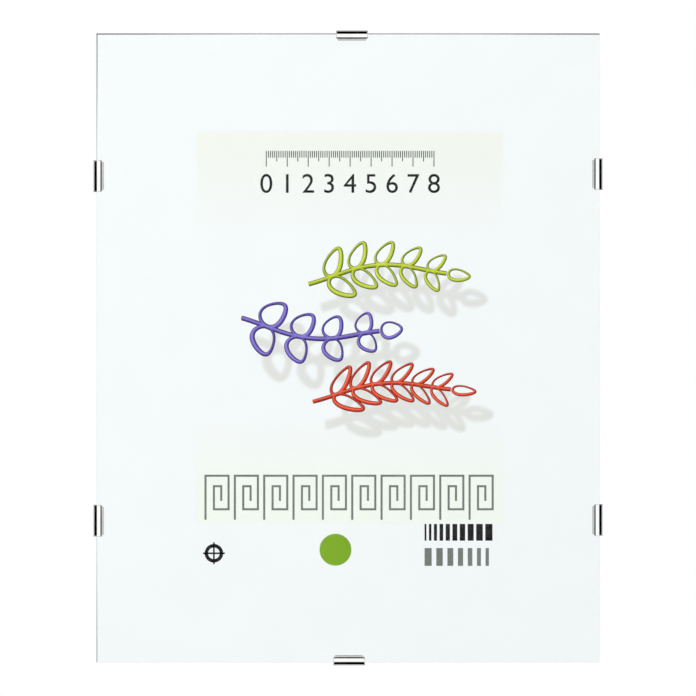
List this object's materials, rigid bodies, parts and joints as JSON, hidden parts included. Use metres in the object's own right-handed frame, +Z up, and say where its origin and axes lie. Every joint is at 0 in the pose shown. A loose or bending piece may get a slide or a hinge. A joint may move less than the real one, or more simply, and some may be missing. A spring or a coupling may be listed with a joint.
{
  "type": "clip frame",
  "caption": "Frameless clip frame: a glass pane, a printed insert and a hardboard back, gripped at the edges by bent spring clips with keyhole eyes for hanging.",
  "frame": {"origin": "centre of the top clip's nail eye, on the wall plane, which is the rear face of the clips' rear legs", "axes": "+X to the viewer's right, +Y backwards into the wall, +Z up as it hangs; the glass faces -Y"},
  "size_m": [0.243, 0.0088, 0.303],
  "materials": {
    "glass": "low-reflection float glass",
    "paper": "smooth coated card, printed",
    "hardboard": "matte",
    "clip_metal": "polished"
  },
  "bodies": {
    "panel": {"backing_board": "hardboard", "printed_insert": "paper", "glass_pane": "glass"},
    "clip_top": {"clip_top": "clip_metal"},
    "clip_bottom": {"clip_bottom": "clip_metal"},
    "clip_left_upper": {"clip_left_upper": "clip_metal"},
    "clip_left_lower": {"clip_left_lower": "clip_metal"},
    "clip_right_upper": {"clip_right_upper": "clip_metal"},
    "clip_right_lower": {"clip_right_lower": "clip_metal"}
  },
  "joints": [
    {"name": "clip_top_swing", "type": "hinge", "parent": "panel", "child": "clip_top", "pos_m": [0, -0.00835, 0.00609], "axis": [1, 0, 0], "range_deg": [0, 35]},
    {"name": "clip_bottom_swing", "type": "hinge", "parent": "panel", "child": "clip_bottom", "pos_m": [-0.00135, -0.00835, -0.28809], "axis": [-1, 0, 0], "range_deg": [0, 35]},
    {"name": "clip_left_upper_swing", "type": "hinge", "parent": "panel", "child": "clip_left_upper", "pos_m": [-0.11899, -0.00835, -0.05905], "axis": [0, 0, 1], "range_deg": [0, 35]},
    {"name": "clip_left_lower_swing", "type": "hinge", "parent": "panel", "child": "clip_left_lower", "pos_m": [-0.11899, -0.00835, -0.22345], "axis": [0, 0, 1], "range_deg": [0, 35]},
    {"name": "clip_right_upper_swing", "type": "hinge", "parent": "panel", "child": "clip_right_upper", "pos_m": [0.11519, -0.00835, -0.0581], "axis": [0, 0, -1], "range_deg": [0, 35]},
    {"name": "clip_right_lower_swing", "type": "hinge", "parent": "panel", "child": "clip_right_lower", "pos_m": [0.11519, -0.00835, -0.22312], "axis": [0, 0, -1], "range_deg": [0, 35]}
  ]
}
